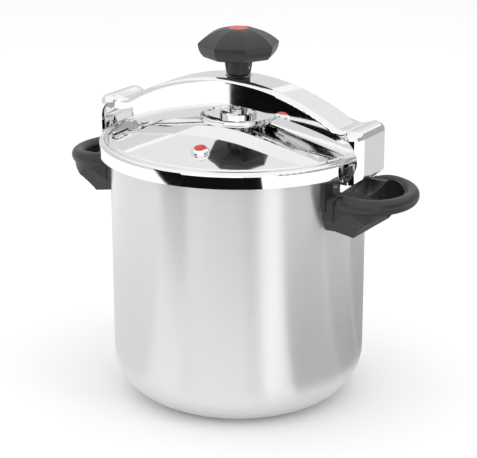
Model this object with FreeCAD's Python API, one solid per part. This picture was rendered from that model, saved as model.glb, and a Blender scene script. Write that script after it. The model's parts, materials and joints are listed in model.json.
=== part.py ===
import FreeCAD, Part
import math
import os

# Bridge-clamp pressure canner, millimetres.
# +Z is up, the origin is the centre of the base, and the bridge and both handles lie along X.
# The rest pose is closed with the knob hand-loose: the bridge hooks sit just under their catches.

V = FreeCAD.Vector
UP = V(0, 0, 1)
CENTRE = V(0, 0, 0)

# ---- driving dimensions ----
POT_R = 120.0                 # outside of the pot wall
SHEET = 1.0                   # pot sheet thickness
CORNER_R = 46.6               # large bottom corner, down to the heel
CORNER_Z = 45.0
HEEL_R = 6.0                  # small bend that turns the corner into the flat bottom
BASE_H = 4.2                  # height of the capsule base
CAP_SHEET = 0.6
LIP_Z = 240.0                 # top of the pot's sealing lip
LIP_R = 127.8

LID_R = 130.0                 # outside of the lid's rim band
LID_SHEET = 1.2
BAND_Z0, BAND_Z1 = 235.5, 250.1
BAND_ROUND = 3.7
DOME_R = 900.0                # radius of the lid's arc, almost a cone
DOME_OUT = (118.0, 250.0)
DOME_IN = (37.5, 268.0)
PLATEAU_R = 35.6
PLATEAU_Z = 271.2
FLOOR_R, FLOOR_Z = 30.0, 270.0

ARCH_R = 212.0                # outside of the bridge's arch
ARCH_TOP = 307.5
ARCH_HALF = 19.5              # half width of the arch
ARCH_END_X = 110.0            # where the arch gives way to the dip before the shoulder
DIP_R, DIP_RISE = 14.0, 25.0
BRIDGE_SHEET = 2.5
LEG_X = 142.0                 # outside of the bridge's leg
LEG_HALF = 30.0
SHOULDER_X, SHOULDER_Z = 123.5, 277.1
RIM_NOTCH = (112.0, 250.0, 27.0)    # x, z and radius of the flanges' notch round the lid's rim
NOTCH_TOP = 271.0
THROAT_X = 131.4              # back of the hooks' throat
HOOK_IN_R = 128.3             # the hooks rise past the pot's lip
HOOK_TOP, HOOK_LOW = 228.8, 222.0
HOOK_LOW_X = 126.6
LEG_LOW = 236.4               # lower edge of the leg's outer web
CATCH_Z = 232.0               # underside of the catches, 3.2 above the loose hooks
CATCH_T = 2.4
CATCH_R = 132.5
CATCH_IN, CATCH_OUT = 10.9, 14.9    # degrees either side of the X axis
PLATE_T = 1.5
PLATE_Z0 = 199.0

SEAM_X = 123.5                # joint between the collar and the handle
SEAM_GROOVE = 0.9
GRIP_HALF = 40.5
COLLAR_LOW = 186.5
SKIRT_LOW, SKIRT_HALF = 183.0, 34.5     # lower corner of the handle's root
SADDLE_Z = 220.2              # the hooks swing over this face
SCOOP_Z, SCOOP_R = 214.5, 66.0          # lowest line and radius of the scoop between the hooks
LOOP_X, LOOP_HALF = 182.6, 47.5
LOOP_CX = 142.0               # centre of the loop's ellipse
LOOP_Z, LOOP_RISE = 213.2, 2.0
LOOP_W, LOOP_H = 13.6, 15.0
HOLE_X = 141.5                # start of the finger hole
STUD_Y, STUD_Z, STUD_R = 14.0, 204.0, 3.0
NUT_X = 133.5                 # seat of the nuts, sunk in the handle's root
NUT_POCKET_R = 6.2
TAB_START, TAB_WIDTH = 15.6, 4.4        # tabs of the collar beside the bracket, in degrees

SPINDLE_R = 6.0
THREAD_PITCH = 3.0
KNOB_Z, KNOB_FLAT = 352.0, 35.0
KNOB_TURN = 19.0              # the knob's facets, degrees from the X axis
STEM_Z = 308.0
STEM_ROOM_R = 12.2
NUT_RECESS_Z = 303.3          # the knob's stem sinks towards this face as it tightens

FOOT_R, FOOT_TOP = 11.4, 273.0          # thrust foot under the spindle
HUB_R, HUB_TOP = 8.4, 277.0
SOCKET_R, SOCKET_TOP = 17.5, 274.4
SOCKET_BOLT_R = 14.4          # circle of the socket's rivets

INDICATOR_R, INDICATOR_AT = 92.0, -79.6
INDICATOR_TRAVEL = 4.0
REGULATOR_R, REGULATOR_AT = 78.0, 90.0

RACK_R, RACK_FEET_R = 106.0, 74.0
RACK_Z, RACK_T = 18.0, 1.5


# ---- helpers ----
def polar(cx, cz, radius, degrees):
    a = math.radians(degrees)
    return (cx + radius * math.cos(a), cz + radius * math.sin(a))


def face_of(start, steps):
    """Closed XZ face from a start point and steps: a point is a line, a pair of points is an arc."""
    def at(p):
        return V(p[0], 0, p[1])
    edges = []
    here = start
    for step in steps + [start]:
        if isinstance(step[0], tuple):
            edges.append(Part.Arc(at(here), at(step[0]), at(step[1])).toShape())
            here = step[1]
        elif math.dist(here, step) > 1e-6:
            edges.append(Part.LineSegment(at(here), at(step)).toShape())
            here = step
    return Part.Face(Part.Wire(edges))


def arc(cx, cz, radius, a0, a1):
    """Arc step about a centre from angle a0 to a1, in degrees."""
    return (polar(cx, cz, radius, (a0 + a1) / 2), polar(cx, cz, radius, a1))


def turned(start, steps):
    """Solid of revolution about Z from an (r, z) outline."""
    return face_of(start, steps).revolve(CENTRE, UP, 360)


def slab(face, y0, y1):
    """An XZ face given thickness between y0 and y1."""
    moved = face.copy()
    moved.translate(V(0, y0, 0))
    return moved.extrude(V(0, y1 - y0, 0))


def tube(r0, r1, z0, z1):
    outer = Part.makeCylinder(r1, z1 - z0, V(0, 0, z0))
    return outer.cut(Part.makeCylinder(r0, z1 - z0 + 2, V(0, 0, z0 - 1)))


def sector(r0, r1, z0, z1, a0, a1):
    """Part of a ring between two angles about Z, in degrees."""
    return face_of((r0, z0), [(r1, z0), (r1, z1), (r0, z1)]).revolve(CENTRE, UP, a1 - a0).rotated(
        CENTRE, UP, a0)


def block(x0, x1, y0, y1, z0, z1):
    return Part.makeBox(x1 - x0, y1 - y0, z1 - z0, V(x0, y0, z0))


def hexagon(across, height, base):
    points = [V(*polar(0, 0, across / math.sqrt(3), 60 * i), 0) for i in range(7)]
    solid = Part.Face(Part.makePolygon(points)).extrude(V(0, 0, height))
    solid.translate(V(0, 0, base))
    return solid


def round_edges(solid, radius, wanted):
    return solid.makeFillet(radius, [e for e in solid.Edges if wanted(e)])


def is_vertical(edge):
    a, b = edge.Vertexes[0].Point, edge.Vertexes[-1].Point
    return (a - b).Length > 1 and abs(a.x - b.x) < 1e-4 and abs(a.y - b.y) < 1e-4


def half_turn(shape):
    return shape.rotated(CENTRE, UP, 180)


def joined(shapes):
    return shapes[0].multiFuse(shapes[1:]).removeSplitter()


def together(shapes):
    return Part.makeCompound(shapes)


def export(name, shape):
    if shape.ShapeType == "Compound" and len(shape.Solids) == 1:
        shape = shape.Solids[0]
    shape.exportStep("parts/" + name + ".step")


# ---- the lid's arc, used by everything that stands on the lid ----
def dome_centre():
    (r0, z0), (r1, z1) = DOME_OUT, DOME_IN
    length = math.dist(DOME_OUT, DOME_IN)
    drop = math.sqrt(DOME_R ** 2 - length ** 2 / 4)
    return ((r0 + r1) / 2 - drop * (z1 - z0) / length, (z0 + z1) / 2 - drop * (r0 - r1) / length)


def crown(r, z0, z1):
    """Arc step from (r, z0) up to (0, z1), square to the axis at its top."""
    radius = (r ** 2 + (z1 - z0) ** 2) / (2 * (z1 - z0))
    rim = math.degrees(math.atan2(z0 - z1 + radius, r))
    return arc(0, z1 - radius, radius, rim, 90)


def dome_step(p, q, radius):
    """Arc step from p to q about the dome's centre."""
    cr, cz = dome_centre()
    mid = math.atan2((p[1] + q[1]) / 2 - cz, (p[0] + q[0]) / 2 - cr)
    return (polar(cr, cz, radius, math.degrees(mid)), q)


def on_lid(shape, r, degrees):
    """Stand a shape, made about the Z axis with z = 0 on the lid, upright on the lid's slope."""
    cr, cz = dome_centre()
    lean = math.degrees(math.asin((r - cr) / DOME_R))
    placed = shape.rotated(CENTRE, V(0, 1, 0), lean)
    placed.translate(V(r, 0, cz + DOME_R * math.cos(math.radians(lean))))
    return placed.rotated(CENTRE, UP, degrees)


# ---- pot ----
def heel(flat_z, radius):
    """Angle at which the large corner gives way to a small bend that ends flat at flat_z."""
    return math.degrees(math.asin((CORNER_Z - flat_z - radius) / (CORNER_R - radius)))


def pot_shell():
    angle = heel(BASE_H, HEEL_R)
    cr = POT_R - CORNER_R
    hr, hz = polar(cr, CORNER_Z, CORNER_R - HEEL_R, -angle)
    neck = LIP_Z - 3.5
    lip_in = POT_R + 2.5
    roll = LIP_R - 1.8
    inner_r = POT_R - SHEET
    return turned((0, BASE_H), [
        (hr, BASE_H),
        arc(hr, hz, HEEL_R, -90, -angle),
        arc(cr, CORNER_Z, CORNER_R, -angle, 0),
        (POT_R, neck),
        arc(lip_in, neck, 2.5, 180, 90),
        (roll, LIP_Z - SHEET),
        arc(roll, LIP_Z - 1.8, 0.8, 90, 0),
        (LIP_R - SHEET, LIP_Z - 3.2),
        (LIP_R, LIP_Z - 3.2),
        (LIP_R, LIP_Z - 1.8),
        arc(roll, LIP_Z - 1.8, 1.8, 0, 90),
        (lip_in, LIP_Z),
        arc(lip_in, neck, 3.5, 90, 180),
        (inner_r, CORNER_Z),
        arc(cr, CORNER_Z, CORNER_R - SHEET, 0, -angle),
        arc(hr, hz, HEEL_R - SHEET, -angle, -90),
        (0, BASE_H + SHEET)])


def base_cap():
    """Thin dish that carries the line of the corner on to the floor."""
    angle = heel(0, HEEL_R)
    cr = POT_R - CORNER_R
    hr, hz = polar(cr, CORNER_Z, CORNER_R - HEEL_R, -angle)
    inner = CORNER_R - CAP_SHEET
    seam = math.degrees(math.asin((CORNER_Z - BASE_H + 0.05) / inner))
    return turned((0, 0), [
        (hr, 0),
        arc(hr, hz, HEEL_R, -90, -angle),
        arc(cr, CORNER_Z, CORNER_R, -angle, -seam),
        polar(cr, CORNER_Z, inner, -seam),
        arc(cr, CORNER_Z, inner, -seam, -angle),
        arc(hr, hz, HEEL_R - CAP_SHEET, -angle, -90),
        (0, CAP_SHEET)])


def base_core():
    return turned((0, CAP_SHEET), [(84.5, CAP_SHEET), (91.5, 3.2), (93.5, BASE_H), (0, BASE_H)])


def bracket():
    """Plate welded to the wall with two ears bent outward, which the hooks catch under."""
    top = CATCH_Z + CATCH_T
    pieces = [sector(POT_R, POT_R + PLATE_T, PLATE_Z0, top, -CATCH_OUT, CATCH_OUT)]
    for start in (CATCH_IN, -CATCH_OUT):
        pieces.append(sector(POT_R, CATCH_R, CATCH_Z, top, start, start + CATCH_OUT - CATCH_IN))
    return joined(pieces)


# ---- handles ----
def skirt_half(z):
    """Half width of the handle's sloping sides at height z."""
    return SKIRT_HALF + (z - SKIRT_LOW) * (LOOP_HALF - SKIRT_HALF) / (LOOP_Z - SKIRT_LOW)


def skirt_height(half):
    return SKIRT_LOW + (half - SKIRT_HALF) * (LOOP_Z - SKIRT_LOW) / (LOOP_HALF - SKIRT_HALF)


def grip_section(half, low, z_top):
    """Cross-section of the collar or the handle's root in the YZ plane."""
    bend = 8.0
    low_half, side_z = skirt_half(low), skirt_height(half)
    steps = [
        (low_half, low),
        (half, side_z),
        (half, z_top - bend),
        arc(half - bend, z_top - bend, bend, 0, 90),
        (-half + bend, z_top),
        arc(-half + bend, z_top - bend, bend, 90, 180),
        (-half, side_z)]
    return face_of((-low_half, low), steps).rotated(CENTRE, UP, 90)


def along_x(section, x0, x1):
    return section.translated(V(x0, 0, 0)).extrude(V(x1 - x0, 0, 0))


def scoop():
    """Round trough along X between the hooks' paths, as far as the finger hole."""
    return Part.makeCylinder(SCOOP_R, HOLE_X - 100, V(100, 0, SCOOP_Z + SCOOP_R), V(1, 0, 0))


def stud_holes():
    return together([Part.makeCylinder(STUD_R + 0.4, 60, V(100, y, STUD_Z), V(1, 0, 0))
                     for y in (-STUD_Y, STUD_Y)])


def handle_collar():
    x0 = 100.0
    pieces = [along_x(grip_section(GRIP_HALF, COLLAR_LOW, SADDLE_Z), x0, SEAM_X).cut(scoop())]
    for start in (TAB_START, -TAB_START - TAB_WIDTH):
        pieces.append(sector(POT_R, POT_R + 3.4, 205.0, 230.5, start, start + TAB_WIDTH))
    collar = joined(pieces).cut(Part.makeCylinder(POT_R + 0.05, 100, V(0, 0, 160)))
    plate_room = sector(POT_R - 1, POT_R + PLATE_T + 0.1, PLATE_Z0 - 0.3, 240, -15.2, 15.2)
    return collar.cut(plate_room).cut(stud_holes())


def ellipse_column(half_x, half_y):
    """Tall elliptic column about the loop's centre; half_y is the larger half."""
    plan = Part.Ellipse(V(LOOP_CX, 0, 0), half_y, half_x).toShape()
    plan.rotate(V(LOOP_CX, 0, 0), UP, 90)
    return Part.Face(Part.Wire(plan)).extrude(V(0, 0, 300))


def loop_tube():
    """The rounded finger loop: an oval section swept round half an ellipse and into the root."""
    half_x = LOOP_X - LOOP_W / 2 - LOOP_CX
    half_y = LOOP_HALF - LOOP_W / 2
    root_x, root_y = SEAM_X + 4.0, GRIP_HALF - LOOP_W / 2
    points = [V(root_x, -root_y, LOOP_Z)]
    for degrees in range(-90, 91, 15):
        x, y = math.cos(math.radians(degrees)), math.sin(math.radians(degrees))
        points.append(V(LOOP_CX + half_x * x, half_y * y, LOOP_Z + LOOP_RISE * (1 - x)))
    points.append(V(root_x, root_y, LOOP_Z))
    curve = Part.BSplineCurve()
    curve.interpolate(points)
    path = Part.Wire(curve.toShape())
    section = Part.Ellipse(V(0, 0, 0), LOOP_H / 2, LOOP_W / 2).toShape()
    section.rotate(CENTRE, V(0, 1, 0), 90)
    tangent = curve.tangent(curve.FirstParameter)[0]
    section.rotate(CENTRE, UP, math.degrees(math.atan2(tangent.y, tangent.x)))
    section.translate(points[0])
    return path.makePipeShell([Part.Wire(section)], True, True)


def handle_root():
    """Block between the collar and the loop, narrower below, with the trough along its top."""
    outline = face_of((SEAM_X, COLLAR_LOW), [
        (141.5, SKIRT_LOW),
        ((150.5, 193.6), (163.0, 203.0)),
        ((168.0, 205.9), (176.0, 207.5)),
        (176.0, 214.0),
        (150.0, SADDLE_Z),
        (SEAM_X, SADDLE_Z)])
    root = along_x(grip_section(LOOP_HALF - 1.0, SKIRT_LOW - 1.0, SADDLE_Z), SEAM_X, SEAM_X + 60)
    root = root.common(slab(outline, -60, 60))
    seam, wide = GRIP_HALF, LOOP_HALF - 3.0
    corners = [(SEAM_X, -seam), (LOOP_CX, -wide), (LOOP_CX, wide), (SEAM_X, seam), (SEAM_X, -seam)]
    neck = Part.Face(Part.makePolygon([V(x, y, 0) for x, y in corners])).extrude(V(0, 0, 300))
    root = root.common(neck.fuse(ellipse_column(LOOP_X - 3.0 - LOOP_CX, wide)))
    groove = block(SEAM_X, SEAM_X + SEAM_GROOVE, -60, 60, 150, 300)
    inner = grip_section(GRIP_HALF - SEAM_GROOVE, COLLAR_LOW + SEAM_GROOVE, SADDLE_Z - SEAM_GROOVE)
    return root.cut(groove.cut(along_x(inner, SEAM_X, SEAM_X + SEAM_GROOVE)))


def handle():
    hole = ellipse_column(LOOP_X - LOOP_W - LOOP_CX, LOOP_HALF - LOOP_W)
    hole = hole.common(block(HOLE_X, 200, -60, 60, 0, 300))
    shape = handle_root().fuse(loop_tube()).cut(hole).cut(scoop()).cut(stud_holes())
    for y in (-STUD_Y, STUD_Y):
        shape = shape.cut(Part.makeCylinder(NUT_POCKET_R, 20, V(NUT_X, y, STUD_Z), V(1, 0, 0)))
    return shape.common(block(SEAM_X, 200, -60, 60, 150, 300)).removeSplitter()


def handle_studs():
    plate = POT_R + PLATE_T
    studs = []
    for y in (-STUD_Y, STUD_Y):
        x0 = math.sqrt(plate ** 2 - y ** 2) - 0.2
        stud = Part.makeCylinder(STUD_R, NUT_X + 6.0 - x0, V(x0, y, STUD_Z), V(1, 0, 0))
        studs.append(stud.cut(Part.makeCylinder(plate, 60, V(0, 0, 180))))
    return together(studs)


def handle_nuts():
    nuts = []
    for y in (-STUD_Y, STUD_Y):
        nut = hexagon(9.0, 5.0, 0).cut(Part.makeCylinder(STUD_R, 20, V(0, 0, -5)))
        nut.rotate(CENTRE, V(0, 1, 0), 90)
        nut.translate(V(NUT_X, y, STUD_Z))
        nuts.append(nut)
    return together(nuts)


# ---- lid ----
def lid_shell():
    r, t = LID_R, LID_SHEET
    round_r, round_z = r - BAND_ROUND, BAND_Z1 - BAND_ROUND
    inner = [
        (PLATEAU_R - 0.9, PLATEAU_Z - t - 0.7),
        (FLOOR_R + 0.4, PLATEAU_Z - t - 0.4),
        (FLOOR_R - 1.0, FLOOR_Z - t),
        (0, FLOOR_Z - t)]
    dome_in_low = (DOME_IN[0] - 0.5, DOME_IN[1] - t)
    dome_out_low = (DOME_OUT[0] - 0.4, DOME_OUT[1] - t)
    solid = turned((r - t, BAND_Z0), [
        (r, BAND_Z0),
        (r, round_z),
        arc(round_r, round_z, BAND_ROUND, 0, 90),
        (125.7, BAND_Z1),
        (125.1, BAND_Z1 - 0.9),
        (124.5, BAND_Z1 - 1.2),
        ((121.0, 248.7), DOME_OUT),
        dome_step(DOME_OUT, DOME_IN, DOME_R),
        ((36.6, 268.6), (PLATEAU_R + 0.6, 269.6)),
        ((PLATEAU_R + 0.1, 270.9), (PLATEAU_R - 1.2, PLATEAU_Z)),
        (FLOOR_R + 1.5, PLATEAU_Z),
        (FLOOR_R, FLOOR_Z),
        (0, FLOOR_Z),
        inner[3], inner[2], inner[1], inner[0],
        dome_in_low,
        dome_step(dome_in_low, dome_out_low, DOME_R - t),
        ((121.0, 247.5), (124.6, 247.7)),
        (round_r, BAND_Z1 - t),
        arc(round_r, round_z, BAND_ROUND - t, 90, 0)])
    bore = Part.makeCylinder(5.2, 30, V(0, 0, -15))
    solid = solid.cut(on_lid(bore, INDICATOR_R, INDICATOR_AT))
    return solid.cut(on_lid(bore, REGULATOR_R, REGULATOR_AT))


def gasket():
    """Silicone ring with a lip groove on its inner face."""
    z0, z1 = LIP_Z + 0.3, LIP_Z + 6.8
    return turned((121.4, z0), [
        (128.0, z0), (128.4, z0 + 1.0), (128.4, z1 - 1.5), (127.0, z1),
        (121.4, z1), (121.4, z1 - 2.0), (124.6, z1 - 2.8), (124.6, z0 + 2.2), (121.4, z0 + 1.4)])


def lid_plate():
    """Stiffening disc under the lid's centre."""
    z1 = FLOOR_Z - LID_SHEET
    return turned((0, z1 - 1.5), [(26.0, z1 - 1.5), (27.5, z1), (0, z1)])


def spindle_socket():
    """Ring on the lid that keeps the spindle's foot captive and lets it turn."""
    return turned((FOOT_R + 0.1, FLOOR_Z), [
        (SOCKET_R, FLOOR_Z),
        (SOCKET_R, SOCKET_TOP - 1.0),
        (SOCKET_R - 1.0, SOCKET_TOP),
        (HUB_R + 0.4, SOCKET_TOP),
        (HUB_R + 0.4, FOOT_TOP + 0.2),
        (FOOT_R + 0.1, FOOT_TOP + 0.2)]).cut(socket_bores())


def round_socket(shape):
    """Three copies of a shape on the circle of the socket's rivets."""
    return together([shape.translated(V(*polar(0, 0, SOCKET_BOLT_R, 120 * i + 30), 0)) for i in range(3)])


def socket_bores():
    return round_socket(Part.makeCylinder(1.5, 20, V(0, 0, 262)))


def socket_rivets():
    head = 1.0
    return round_socket(turned((0, FLOOR_Z), [
        (1.5, FLOOR_Z), (1.5, SOCKET_TOP), (2.4, SOCKET_TOP), crown(2.4, SOCKET_TOP, SOCKET_TOP + head)]))


# ---- pressure indicator, made about Z with z = 0 on the lid ----
def indicator_housing():
    return turned((3.75, -9.0), [
        (5.0, -9.0), (5.0, 0.0), (8.2, 0.0), (8.4, 0.8),
        ((7.7, 3.1), (5.5, 4.8)), (3.75, 4.8)])


def seal_ring():
    return tube(5.05, 8.6, -LID_SHEET - 2.2, -LID_SHEET - 0.15)


def lock_nut():
    nut = hexagon(15.0, 3.6, -LID_SHEET - 6.0)
    return nut.cut(Part.makeCylinder(5.05, 30, V(0, 0, -15)))


def indicator_pin():
    """Red-headed pin; a collar below the tube stops it after its travel."""
    stop = -9.2 - INDICATOR_TRAVEL
    return turned((0, stop - 2.0), [
        (5.4, stop - 2.0), (5.4, stop), (2.0, stop), (2.0, 1.0), (3.65, 1.6), (3.65, 4.9),
        (5.3, 4.9), (5.3, 5.3), crown(5.3, 5.3, 6.8)])


# ---- pressure regulator, made about Z with z = 0 on the lid ----
def regulator_stem():
    return turned((1.5, -10.0), [
        (5.0, -10.0), (5.0, 0), (8.0, 0), (8.0, 2.5), (4.0, 4.0), (4.0, 13.0), (1.5, 16.0)])


def regulator_sleeve():
    """Dial ring that turns on the stem's shoulder."""
    ring = turned((4.05, 4.4), [(9.6, 4.4), (10.4, 5.2), (10.4, 8.6), (9.8, 9.2), (4.05, 9.2)])
    grips = [Part.makeCylinder(1.1, 10, V(*polar(0, 0, 10.9, 36 * i), 2)) for i in range(10)]
    return ring.cut(together(grips))


def regulator_weight():
    """Cap that lifts off the jet to let steam out."""
    z0 = 9.6
    return turned((4.1, z0), [
        (9.2, z0), (9.8, z0 + 0.6), (9.8, 18.0), ((9.2, 20.2), (6.5, 21.4)), (0, 22.0),
        (0, 16.3), (1.6, 16.3), (4.1, 13.6)])


def vent_filter():
    """Perforated cup below the stem that keeps food out of the vent."""
    cup = turned((5.05, -10.0), [
        (6.2, -10.0), (6.2, -17.0), (0, -17.0), (0, -16.2), (5.05, -16.2)])
    hole = Part.makeCylinder(0.9, 14, V(-7, 0, -13.4), V(1, 0, 0))
    return cup.cut(together([hole.rotated(CENTRE, UP, 45 * i) for i in range(4)]))


# ---- bridge ----
def arch_face(grow):
    """XZ face under the arch's top line from X = -130 to 130; grow moves the line outward."""
    cz, radius = ARCH_TOP - ARCH_R, ARCH_R + grow
    leave = 90 - math.degrees(math.asin(ARCH_END_X / ARCH_R))
    dip = DIP_R - grow
    cx, dip_z = polar(0, cz, radius + dip, leave)
    x, z = polar(0, cz, radius, leave)
    low = polar(cx, dip_z, dip, 270 - (90 - leave - DIP_RISE) / 2)
    end = polar(cx, dip_z, dip, 270 + DIP_RISE)
    side = (130.0, end[1] + (130.0 - end[0]) * 0.28)

    def mirrored(point):
        return (-point[0], point[1])

    return face_of((-130, 200), [
        mirrored(side),
        mirrored(end),
        (mirrored(low), (-x, z)),
        ((0, cz + radius), (x, z)),
        (low, end),
        side,
        (130, 200)])


def arch():
    """Inverted channel with rounded top edges and a curved lower edge."""
    outer = slab(arch_face(0), -ARCH_HALF, ARCH_HALF)
    bend = 4.5
    outer = round_edges(outer, bend, lambda e: on_arch_edge(e, ARCH_HALF))
    inner = slab(arch_face(-BRIDGE_SHEET), -ARCH_HALF + BRIDGE_SHEET, ARCH_HALF - BRIDGE_SHEET)
    inner = round_edges(inner, bend - BRIDGE_SHEET, lambda e: on_arch_edge(e, ARCH_HALF - BRIDGE_SHEET))
    lower = face_of((-128, 190), [
        (-128, 263.5), (-119, 263.5), ((-74, 275.2), (0, 284.2)), ((74, 275.2), (119, 263.5)),
        (128, 263.5), (128, 190)])
    return outer.cut(inner).cut(slab(lower, -40, 40)).common(block(-128, 128, -40, 40, 200, 320))


def on_arch_edge(edge, half):
    """Long edges between the arch's top and its sides."""
    y_low, y_high = edge.BoundBox.YMin, edge.BoundBox.YMax
    on_side = abs(abs(y_low) - half) < 1e-3 and abs(y_high - y_low) < 1e-3
    return on_side and edge.BoundBox.ZMin > 255 and edge.BoundBox.XLength > 1


def leg_block(inset):
    """Envelope of the right leg, or its hollow when inset by the sheet's thickness."""
    corner, top, inner = 12.0 - inset, 8.0 - inset, 8.2 - inset
    x0, x1 = SHOULDER_X + inset, LEG_X - inset
    half = LEG_HALF - inset
    crest = SHOULDER_Z - inset
    body = block(x0, x1, -half, half, 205, crest)
    body = round_edges(body, corner, lambda e: is_vertical(e) and e.Vertexes[0].X > x1 - 1)
    body = round_edges(body, inner, lambda e: is_vertical(e) and e.Vertexes[0].X < x0 + 1)
    return round_edges(body, top, lambda e: e.BoundBox.ZMin > crest - 1e-3)


def leg():
    """Right leg: outer web, rounded corners, side flanges cut round the lid's rim, and hooks."""
    between = LEG_HALF - BRIDGE_SHEET
    shell = leg_block(0).cut(leg_block(BRIDGE_SHEET))
    shell = shell.cut(block(100, THROAT_X, -LEG_HALF, LEG_HALF, 200, HOOK_TOP + 10))
    hooks = [block(HOOK_IN_R - 6, THROAT_X + 4, y, y + BRIDGE_SHEET, 200, HOOK_TOP)
             for y in (-LEG_HALF, between)]
    shell = joined([shell] + hooks)
    rim_x, rim_z, rim_r = RIM_NOTCH
    start = math.degrees(math.asin((NOTCH_TOP - rim_z) / rim_r))
    end = -math.degrees(math.acos((THROAT_X - rim_x) / rim_r))
    rim_cut = face_of((100, HOOK_TOP), [
        (100, NOTCH_TOP),
        polar(rim_x, rim_z, rim_r, start),
        arc(rim_x, rim_z, rim_r, start, end),
        (THROAT_X, HOOK_TOP)])
    below = face_of((100, 190), [
        (100, HOOK_LOW),
        (HOOK_LOW_X, HOOK_LOW),
        (LEG_X + 3, LEG_LOW),
        (160, LEG_LOW),
        (160, 190)])
    shell = shell.cut(slab(rim_cut, -60, 60)).cut(slab(below, -60, 60))
    return shell.cut(Part.makeCylinder(HOOK_IN_R, 30, V(0, 0, 205)))


def bridge():
    """Arch and legs as one shape, with room round the spindle for the knob's stem."""
    right = leg()
    whole = joined([arch(), right, half_turn(right)])
    return whole.cut(Part.makeCylinder(STEM_ROOM_R, 30, V(0, 0, 295)))


def bridge_arch():
    return bridge().common(block(-SHOULDER_X, SHOULDER_X, -40, 40, 200, 320))


def hook_zone():
    """The space inside the throat's back, below the hooks' tops."""
    return block(100, THROAT_X, -40, 40, 200, HOOK_TOP)


def bridge_leg():
    return bridge().common(block(SHOULDER_X, 160, -40, 40, 200, 320)).cut(hook_zone())


def bridge_hooks():
    """The pair of hook plates at the foot of the right leg."""
    return bridge().common(hook_zone())


def bridge_nut():
    """Flanged bush welded under the arch, recessed so that the knob's stem can sink in."""
    flange_top = ARCH_TOP - BRIDGE_SHEET - 0.9
    return turned((SPINDLE_R + 0.08, 288.0), [
        (9.5, 288.0), (10.5, 289.0), (10.5, 299.5), (16.4, 299.5), (16.4, flange_top),
        (STEM_ROOM_R, flange_top), (STEM_ROOM_R, NUT_RECESS_Z), (SPINDLE_R + 0.08, NUT_RECESS_Z)])


# ---- spindle and knob ----
def spindle():
    """Clamp screw; rings stand for its thread between the foot and the nut."""
    steps = [(SPINDLE_R, 272.4)]
    z = 279.0
    while z < 287.0:
        steps += [(SPINDLE_R, z), (SPINDLE_R - 0.9, z + 1.5), (SPINDLE_R, z + 3.0)]
        z += THREAD_PITCH
    steps += [(SPINDLE_R, 330.0), (SPINDLE_R - 1, 331.0), (0, 331.0)]
    rod = turned((0, 271.4), [(SPINDLE_R - 1, 271.4)] + steps)
    return rod.cut(Part.makeCylinder(1.6, 60, V(-30, 0, 316), V(1, 0, 0)))


def thrust_foot():
    return turned((0, FLOOR_Z + 0.05), [
        (FOOT_R, FLOOR_Z + 0.05), (FOOT_R, FOOT_TOP), (HUB_R, FOOT_TOP), (HUB_R, HUB_TOP - 0.6),
        (HUB_R - 0.6, HUB_TOP), (SPINDLE_R + 0.06, HUB_TOP), (SPINDLE_R + 0.06, 271.3), (0, 271.3)])


def knob():
    """Eight-sided head on a fluted stem."""
    side = face_of((-30.0, 325.5), [
        (-11.0, 321.0), (11.0, 321.0), (30.0, 325.5),
        ((33.6, 331.0), (KNOB_FLAT, 338.2)),
        ((22.0, 347.8), (0, KNOB_Z)),
        ((-22.0, 347.8), (-KNOB_FLAT, 338.2)),
        ((-33.6, 331.0), (-30.0, 325.5))])
    wedge = slab(side, -60, 60)
    head = wedge
    for i in range(1, 4):
        head = head.common(wedge.rotated(CENTRE, UP, 45 * i))
    head = head.rotated(CENTRE, UP, KNOB_TURN - 90)
    stem = turned((0, STEM_Z), [
        (9.8, STEM_Z), (11.4, STEM_Z + 2.0), (13.2, 322.0), (0, 325.0)])
    flute = Part.makeCylinder(2.6, 14, V(0, 0, STEM_Z - 0.5))
    flutes = [flute.translated(V(*polar(0, 0, 14.0, 45 * i + KNOB_TURN), 0)) for i in range(8)]
    body = head.fuse(stem.cut(together(flutes)))
    body = body.cut(Part.makeCylinder(SPINDLE_R, 331.1 - 300, V(0, 0, 300)))
    body = body.cut(Part.makeCylinder(9.3, 20, V(0, 0, KNOB_Z - 2.4)))
    return body.cut(Part.makeCylinder(1.6, 60, V(-30, 0, 316), V(1, 0, 0)))


def knob_cap():
    z0 = KNOB_Z - 2.4
    return turned((0, z0), [(9.2, z0), (9.2, KNOB_Z - 0.5), crown(9.2, KNOB_Z - 0.5, KNOB_Z + 0.3)])


def knob_pin():
    return Part.makeCylinder(1.6, 23.6, V(-11.8, 0, 316), V(1, 0, 0))


# ---- rack inside the pot ----
def jar_rack():
    """Perforated disc on a rolled skirt, which keeps jars off the floor of the pot."""
    floor = BASE_H + SHEET
    disc = turned((0, RACK_Z), [
        (RACK_R, RACK_Z), (RACK_R, RACK_Z + RACK_T + 3.0), (RACK_R - RACK_T, RACK_Z + RACK_T + 3.0),
        (RACK_R - RACK_T, RACK_Z + RACK_T), (0, RACK_Z + RACK_T)])
    holes = [Part.makeCylinder(9.0, 9, V(0, 0, RACK_Z - 2))]
    for count, radius, size in ((6, 30, 6.5), (12, 58, 7.5), (18, 86, 7.5)):
        for i in range(count):
            x, y = polar(0, 0, radius, 360 * (i + 0.5) / count)
            holes.append(Part.makeCylinder(size, 9, V(x, y, RACK_Z - 2)))
    disc = disc.cut(together(holes))
    feet = []
    for i in range(3):
        x, y = polar(0, 0, RACK_FEET_R, 120 * i)
        feet.append(Part.makeCylinder(5.0, RACK_Z - floor, V(x, y, floor)))
    return joined([disc] + feet)


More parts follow.
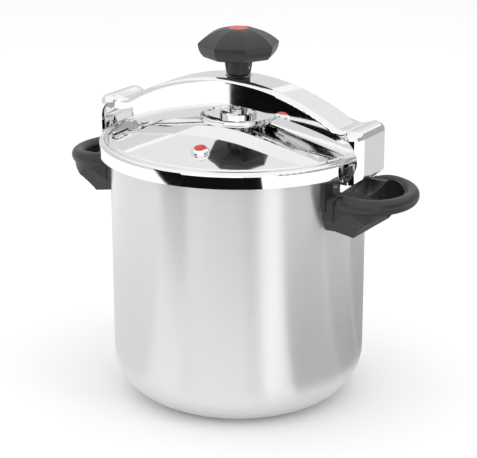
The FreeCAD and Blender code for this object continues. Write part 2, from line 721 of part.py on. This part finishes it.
def main():
    os.makedirs("parts", exist_ok=True)
    export("pot_shell", pot_shell())
    export("base_core", base_core())
    export("base_cap", base_cap())
    sided = {
        "bridge_bracket": bracket(),
        "handle_collar": handle_collar(),
        "handle": handle(),
        "handle_studs": handle_studs(),
        "handle_nuts": handle_nuts(),
        "bridge_leg": bridge_leg(),
        "bridge_hooks": bridge_hooks()}
    for name, shape in sided.items():
        export(name + "_right", shape)
        export(name + "_left", half_turn(shape))
    export("jar_rack", jar_rack())

    export("lid_shell", lid_shell())
    export("gasket", gasket())
    export("lid_plate", lid_plate())
    export("spindle_socket", spindle_socket())
    export("socket_rivets", socket_rivets())
    indicator = {
        "indicator_housing": indicator_housing(),
        "indicator_seal": seal_ring(),
        "indicator_nut": lock_nut(),
        "indicator_pin": indicator_pin()}
    for name, shape in indicator.items():
        export(name, on_lid(shape, INDICATOR_R, INDICATOR_AT))
    regulator = {
        "regulator_stem": regulator_stem(),
        "regulator_seal": seal_ring(),
        "regulator_nut": lock_nut(),
        "vent_filter": vent_filter(),
        "regulator_sleeve": regulator_sleeve(),
        "regulator_weight": regulator_weight()}
    for name, shape in regulator.items():
        export(name, on_lid(shape, REGULATOR_R, REGULATOR_AT))

    export("bridge_arch", bridge_arch())
    export("bridge_nut", bridge_nut())
    export("thrust_foot", thrust_foot())
    export("spindle", spindle())
    export("knob", knob())
    export("knob_cap", knob_cap())
    export("knob_pin", knob_pin())


main()
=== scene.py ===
import json
import math

import bpy
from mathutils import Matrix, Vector

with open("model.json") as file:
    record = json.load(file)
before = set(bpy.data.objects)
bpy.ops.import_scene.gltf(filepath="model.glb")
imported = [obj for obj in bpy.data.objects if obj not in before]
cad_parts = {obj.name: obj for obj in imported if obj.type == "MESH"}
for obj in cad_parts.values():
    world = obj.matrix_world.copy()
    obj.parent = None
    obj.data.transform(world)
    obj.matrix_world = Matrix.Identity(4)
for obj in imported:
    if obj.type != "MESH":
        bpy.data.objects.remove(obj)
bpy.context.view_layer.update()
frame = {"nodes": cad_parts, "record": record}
scene = bpy.context.scene

# ---- camera: the photograph's angle, a long lens from the right of the front ----
CAMERA_AT = (0.78535, -1.26412, 0.64316)
TARGET = (0.0, 0.0, 0.1577)
LENS = 124.04
SENSOR_WIDTH = 36.0
FAR_CLIP = 50.0

# ---- noise textures: most of their values lie between these two ----
NOISE_LOW = 0.3
NOISE_HIGH = 0.7

# ---- bands of light and shade that the steel reflects ----
# name, from and to (degrees to the right of the camera's side), then the brightness of the floor close
# to the pot, of the studio's wall, and of the floor further out (None leaves the painted floor)
ZONES = (("left", -150, -67, 0.8, 0.7, None),
         ("middle_left", -66, -40, 0.98, 1.15, None),
         ("middle", -39, 4, 0.86, 1.25, None),
         ("middle_right", 5, 17, 0.8, 1.0, None),
         ("streak", 18, 35, 1.1, 1.15, None),
         ("right", 36, 75, 0.46, 0.36, None),
         ("far_right", 76, 108, 0.4, 0.4, None),
         ("side", 109, 150, 0.4, 0.42, 0.68),
         ("back", 151, 209, 0.8, 0.72, 0.82))

# ---- studio: places are metres towards the camera (near), to its right (side) and up ----
CAMERA_SIDE = math.radians(-58.15)      # direction from the object to the camera, seen from above
FLOOR_RADIUS = 10.0                     # round, so that its far edge is level from every side
FLOOR_SIDES = 64

CARD_LIFT = 0.002                       # height of the bright cards that lie on the floor
CARD_STEP = 10                          # their curved edges bend about every so many degrees
CLOSE_EDGE = 0.16                       # the close floor cards start here,
CLOSE_END = 0.58                        # end here, and the far ones go on
FAR_END = 1.69                          # to just inside the wall
WALL_DISTANCE = 1.7
WALL_TOP = 1.0

BACK_HIGH = (140, 220)                  # directions of the tall card behind the wall's back
BACK_HIGH_DISTANCE = 1.75
BACK_HIGH_TOP = 2.6
BACK_HIGH_GLOW = 0.84

TABLE_CORNERS = ((0.59, -1.09), (3.0, -1.09), (3.0, 0.28), (0.59, 0.28))    # black card on the floor
TABLE_LIFT = 0.003
FLAG_ENDS = ((0.238, -0.459), (0.345, -0.286))                              # upright black card
FLAG_LOW = 0.13
FLAG_HIGH = 0.34

# name, place, height aimed at, size and power in watts
LAMPS = (("top_box", (0.2, 0.0, 2.2), 0.1, (2.4, 2.4), 13),
         ("left_box", (0.6, -1.9, 1.0), 0.15, (1.2, 1.6), 2),
         ("right_strip", (1.0, 1.3, 0.8), 0.15, (0.35, 1.6), 3))


def make_camera():
    data = bpy.data.cameras.new("photo_camera")
    data.lens = LENS
    data.sensor_width = SENSOR_WIDTH
    data.clip_end = FAR_CLIP
    camera = bpy.data.objects.new("photo_camera", data)
    camera.location = CAMERA_AT
    aim = Vector(TARGET) - Vector(CAMERA_AT)
    camera.rotation_euler = aim.to_track_quat("-Z", "Y").to_euler()
    scene.collection.objects.link(camera)
    scene.camera = camera


# ---- material helpers ----
def grey(value):
    return (value, value, value)


def shader_inputs(mat):
    return mat.node_tree.nodes["Principled BSDF"].inputs


def new_material(name, color, metallic, roughness):
    mat = bpy.data.materials.new(name)
    mat.use_nodes = True
    inputs = shader_inputs(mat)
    inputs["Base Color"].default_value = (*color, 1)
    inputs["Metallic"].default_value = metallic
    inputs["Roughness"].default_value = roughness
    return mat


def noise(mat, scale, stretch=(1, 1, 1), detail=3.0):
    """Noise in the object's own metres; stretch squeezes it along each axis."""
    nodes, links = mat.node_tree.nodes, mat.node_tree.links
    coords = nodes.new("ShaderNodeTexCoord")
    mapping = nodes.new("ShaderNodeMapping")
    mapping.inputs["Scale"].default_value = stretch
    texture = nodes.new("ShaderNodeTexNoise")
    texture.inputs["Scale"].default_value = scale
    texture.inputs["Detail"].default_value = detail
    links.new(coords.outputs["Object"], mapping.inputs["Vector"])
    links.new(mapping.outputs["Vector"], texture.inputs["Vector"])
    return texture.outputs["Fac"]


def vary_roughness(mat, fac, low, high):
    """Roughness that varies between two values."""
    nodes, links = mat.node_tree.nodes, mat.node_tree.links
    node = nodes.new("ShaderNodeMapRange")
    node.inputs["From Min"].default_value = NOISE_LOW
    node.inputs["From Max"].default_value = NOISE_HIGH
    node.inputs["To Min"].default_value = low
    node.inputs["To Max"].default_value = high
    links.new(fac, node.inputs["Value"])
    links.new(node.outputs["Result"], shader_inputs(mat)["Roughness"])


def tint(mat, fac, low, high):
    """Base colour that varies between two colours."""
    nodes, links = mat.node_tree.nodes, mat.node_tree.links
    ramp = nodes.new("ShaderNodeValToRGB")
    ramp.color_ramp.elements[0].position = NOISE_LOW
    ramp.color_ramp.elements[1].position = NOISE_HIGH
    ramp.color_ramp.elements[0].color = (*low, 1)
    ramp.color_ramp.elements[1].color = (*high, 1)
    links.new(fac, ramp.inputs["Fac"])
    links.new(ramp.outputs["Color"], shader_inputs(mat)["Base Color"])


def bump(mat, fac, height, strength):
    """Fine relief; height is in metres."""
    nodes, links = mat.node_tree.nodes, mat.node_tree.links
    node = nodes.new("ShaderNodeBump")
    node.inputs["Distance"].default_value = height
    node.inputs["Strength"].default_value = strength
    links.new(fac, node.inputs["Height"])
    links.new(node.outputs["Normal"], shader_inputs(mat)["Normal"])


# ---- materials ----
def satin_steel():
    """Pot wall: satin steel, polished round and round."""
    mat = new_material("satin_steel", grey(0.86), 1.0, 0.3)
    rings = noise(mat, 40.0, stretch=(0.5, 0.5, 60.0), detail=4.0)
    tint(mat, rings, grey(0.84), grey(0.88))
    vary_roughness(mat, rings, 0.3, 0.36)
    around = mat.node_tree.nodes.new("ShaderNodeTangent")
    around.direction_type = "RADIAL"
    around.axis = "Z"
    inputs = shader_inputs(mat)
    mat.node_tree.links.new(around.outputs["Tangent"], inputs["Tangent"])
    inputs["Anisotropic"].default_value = 0.9
    inputs["Anisotropic Rotation"].default_value = 0.25
    return mat


def mirror_steel():
    """Lid and bridge: mirror polish with the faint haze that handling leaves."""
    mat = new_material("mirror_steel", grey(0.93), 1.0, 0.04)
    haze = noise(mat, 28.0, detail=5.0)
    tint(mat, haze, grey(0.92), grey(0.945))
    vary_roughness(mat, haze, 0.025, 0.06)
    return mat


def plain_metal(name, value, low, high):
    """Brackets, fasteners and the base's core: bare metal with a fine grain."""
    mat = new_material(name, grey(value), 1.0, low)
    grain = noise(mat, 350.0, detail=4.0)
    tint(mat, grain, grey(value * 0.93), grey(value))
    vary_roughness(mat, grain, low, high)
    bump(mat, grain, 0.00003, 0.3)
    return mat


def moulded(name, color, rough_low, rough_high, pore):
    """Plastic or rubber: a fine satin skin with slightly uneven gloss."""
    mat = new_material(name, color, 0.0, rough_low)
    cloud = noise(mat, 30.0, detail=4.0)
    skin = noise(mat, 1500.0, detail=2.0)
    tint(mat, cloud, tuple(c * 0.85 for c in color), tuple(c * 1.15 for c in color))
    vary_roughness(mat, cloud, rough_low, rough_high)
    bump(mat, skin, pore, 0.25)
    return mat


def dress_frame():
    """Gives every CAD node the material of its slot."""
    finishes = {
        "pot_steel": satin_steel(),
        "mirror_steel": mirror_steel(),
        "bracket_steel": plain_metal("bracket_steel", 0.8, 0.12, 0.2),
        "fastener_steel": plain_metal("fastener_steel", 0.7, 0.15, 0.25),
        "core_aluminium": plain_metal("core_aluminium", 0.75, 0.35, 0.5),
        "bakelite": moulded("bakelite", grey(0.022), 0.3, 0.4, 0.00004),
        "black_plastic": moulded("black_plastic", grey(0.025), 0.4, 0.5, 0.00004),
        "red_plastic": moulded("red_plastic", (0.62, 0.035, 0.045), 0.18, 0.28, 0.00001),
        "silicone": moulded("silicone", (0.45, 0.45, 0.43), 0.55, 0.65, 0.00002)}
    for part in frame["record"]["subparts"]:
        slots = frame["nodes"][part["node"]].material_slots
        for slot in slots:
            slot.material = finishes[part["material_slot"]]


# ---- studio ----
def studio_place(near, side, z):
    """The frame's x, y, z of a place in the studio."""
    c, s = math.cos(CAMERA_SIDE), math.sin(CAMERA_SIDE)
    return (near * c - side * s, near * s + side * c, z)


def card(name, corners, mat, camera_sees=False):
    """One flat face. Unless the camera sees it, only reflections do."""
    mesh = bpy.data.meshes.new(name)
    face = tuple(range(len(corners)))
    mesh.from_pydata([studio_place(*corner) for corner in corners], [], [face])
    mesh.materials.append(mat)
    obj = bpy.data.objects.new(name, mesh)
    obj.visible_camera = camera_sees
    obj.visible_diffuse = camera_sees
    obj.visible_shadow = camera_sees
    scene.collection.objects.link(obj)


def make_floor():
    mat = new_material("floor_paint", grey(0.9), 0.0, 0.9)
    cloud = noise(mat, 2.0)
    tint(mat, cloud, grey(0.895), grey(0.905))
    shader_inputs(mat)["Specular IOR Level"].default_value = 0.0
    angles = [math.radians(360 * i / FLOOR_SIDES) for i in range(FLOOR_SIDES)]
    rim = [(FLOOR_RADIUS * math.cos(a), FLOOR_RADIUS * math.sin(a), 0) for a in angles]
    card("floor", rim, mat, camera_sees=True)


def glow(name, value):
    mat = bpy.data.materials.new(name)
    mat.use_nodes = True
    nodes = mat.node_tree.nodes
    nodes.clear()
    lamp = nodes.new("ShaderNodeEmission")
    lamp.inputs["Color"].default_value = (*grey(1.0), 1)
    lamp.inputs["Strength"].default_value = value
    out = nodes.new("ShaderNodeOutputMaterial")
    mat.node_tree.links.new(lamp.outputs["Emission"], out.inputs["Surface"])
    return mat


def upright(name, start, end, z_low, z_high, mat):
    """Upright card between two places on the floor."""
    card(name, [(*start, z_low), (*end, z_low), (*end, z_high), (*start, z_high)], mat)


def panel(name, directions, distance, z_low, z_high, mat):
    """Upright card between two directions."""
    angles = [math.radians(direction) for direction in directions]
    start, end = [(distance * math.cos(a), distance * math.sin(a)) for a in angles]
    upright(name, start, end, z_low, z_high, mat)


def wedge(name, directions, near_edge, far_edge, mat):
    """Flat card on the floor between two directions."""
    start, end = directions
    steps = max(2, round((end - start) / CARD_STEP))
    angles = [math.radians(start + (end - start) * i / steps) for i in range(steps + 1)]
    inner = [(near_edge * math.cos(a), near_edge * math.sin(a), CARD_LIFT) for a in angles]
    outer = [(far_edge * math.cos(a), far_edge * math.sin(a), CARD_LIFT) for a in reversed(angles)]
    card(name, inner + outer, mat)


def make_cards():
    """Black and glowing cards that only reflections see."""
    black = new_material("black_card", grey(0.004), 0.0, 0.9)
    shader_inputs(black)["Specular IOR Level"].default_value = 0.0
    card("black_table", [(near, side, TABLE_LIFT) for near, side in TABLE_CORNERS], black)
    upright("black_flag", *FLAG_ENDS, FLAG_LOW, FLAG_HIGH, black)
    for name, start, end, close, wall, far in ZONES:
        directions = (start, end)
        wedge(name + "_floor", directions, CLOSE_EDGE, CLOSE_END, glow(name + "_floor_glow", close))
        panel(name + "_wall", directions, WALL_DISTANCE, 0.0, WALL_TOP, glow(name + "_wall_glow", wall))
        if far:
            wedge(name + "_far_floor", directions, CLOSE_END, FAR_END, glow(name + "_far_glow", far))
    back_glow = glow("back_high_glow", BACK_HIGH_GLOW)
    panel("back_high", BACK_HIGH, BACK_HIGH_DISTANCE, WALL_TOP, BACK_HIGH_TOP, back_glow)


def area_light(name, place, aim_height, size, power):
    """Soft lamp aimed at a point above the pot's centre; only diffuse surfaces see it."""
    data = bpy.data.lights.new(name, "AREA")
    data.shape = "RECTANGLE"
    data.size, data.size_y = size
    data.energy = power
    light = bpy.data.objects.new(name, data)
    light.location = studio_place(*place)
    direction = Vector((0, 0, aim_height)) - Vector(light.location)
    light.rotation_euler = direction.to_track_quat("-Z", "Y").to_euler()
    light.visible_camera = False
    light.visible_glossy = False
    scene.collection.objects.link(light)


def make_world():
    world = bpy.data.worlds.new("studio")
    scene.world = world
    world.use_nodes = True
    back = world.node_tree.nodes["Background"]
    back.inputs["Color"].default_value = (*grey(1.0), 1)
    back.inputs["Strength"].default_value = 1.0


def make_lights():
    for lamp in LAMPS:
        area_light(*lamp)


make_camera()
dress_frame()
make_floor()
make_cards()
make_world()
make_lights()
scene.view_settings.view_transform = "Standard"
